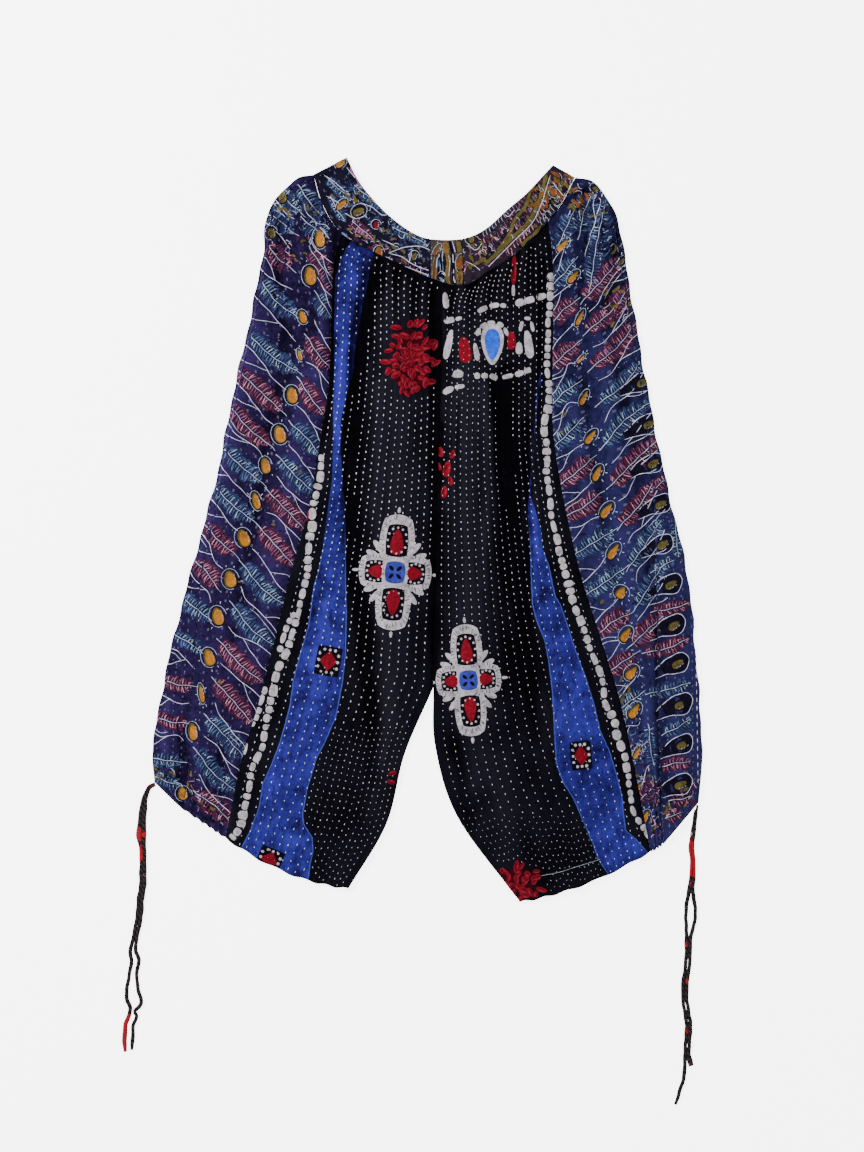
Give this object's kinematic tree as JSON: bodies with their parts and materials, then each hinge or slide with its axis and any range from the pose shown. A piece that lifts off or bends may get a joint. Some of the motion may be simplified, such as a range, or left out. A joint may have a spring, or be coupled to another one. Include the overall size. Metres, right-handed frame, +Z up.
{
  "type": "capri joggers",
  "caption": "Balloon-leg capri joggers in quilted patchwork cotton, lying flat, with a gathered elastic waistband and drawstring hems.",
  "frame": {"origin": "centre of the garment's box on the surface it lies on, without the free drawstring ends", "axes": "+X towards the right of the picture (the wearer's left leg), +Y up the garment towards the waist, +Z up off the surface, so the front faces +Z"},
  "size_m": [0.6092, 0.996, 0.008],
  "materials": {
    "black_quilted_cotton": "matt hand-quilted cotton, black with white running stitches, a royal-blue wavy stripe and a pebble border",
    "navy_frond_print": "matt quilted cotton, violet-navy with crimson and teal fronds, gold buds and white lines",
    "navy_back_print": "matt quilted cotton, violet-navy with bowed white lines and olive buds",
    "navy_band_print": "matt cotton band, navy frond print, gathered on elastic",
    "striped_patch_cotton": "matt cotton patch, gold, olive, orange and navy stripes",
    "olive_vine_print": "matt cotton band, olive vines and white dashes on navy",
    "drawstring_cotton": "matt black cotton cord with red and white stretches"
  },
  "bodies": {
    "root": {"left_front_centre_panel": "black_quilted_cotton", "left_front_side_panel": "navy_frond_print", "left_back_centre_panel": "black_quilted_cotton", "left_back_side_panel": "navy_back_print", "right_front_centre_panel": "black_quilted_cotton", "right_front_side_panel": "navy_frond_print", "right_back_centre_panel": "black_quilted_cotton", "right_back_side_panel": "navy_back_print", "waistband_front_left": "navy_band_print", "waistband_centre_patch": "striped_patch_cotton", "waistband_front_right": "olive_vine_print", "waistband_back": "navy_band_print", "left_drawstring_long_end": "drawstring_cotton", "left_drawstring_short_end": "drawstring_cotton", "right_drawstring_long_end": "drawstring_cotton", "right_drawstring_short_end": "drawstring_cotton"}
  },
  "joints": []
}
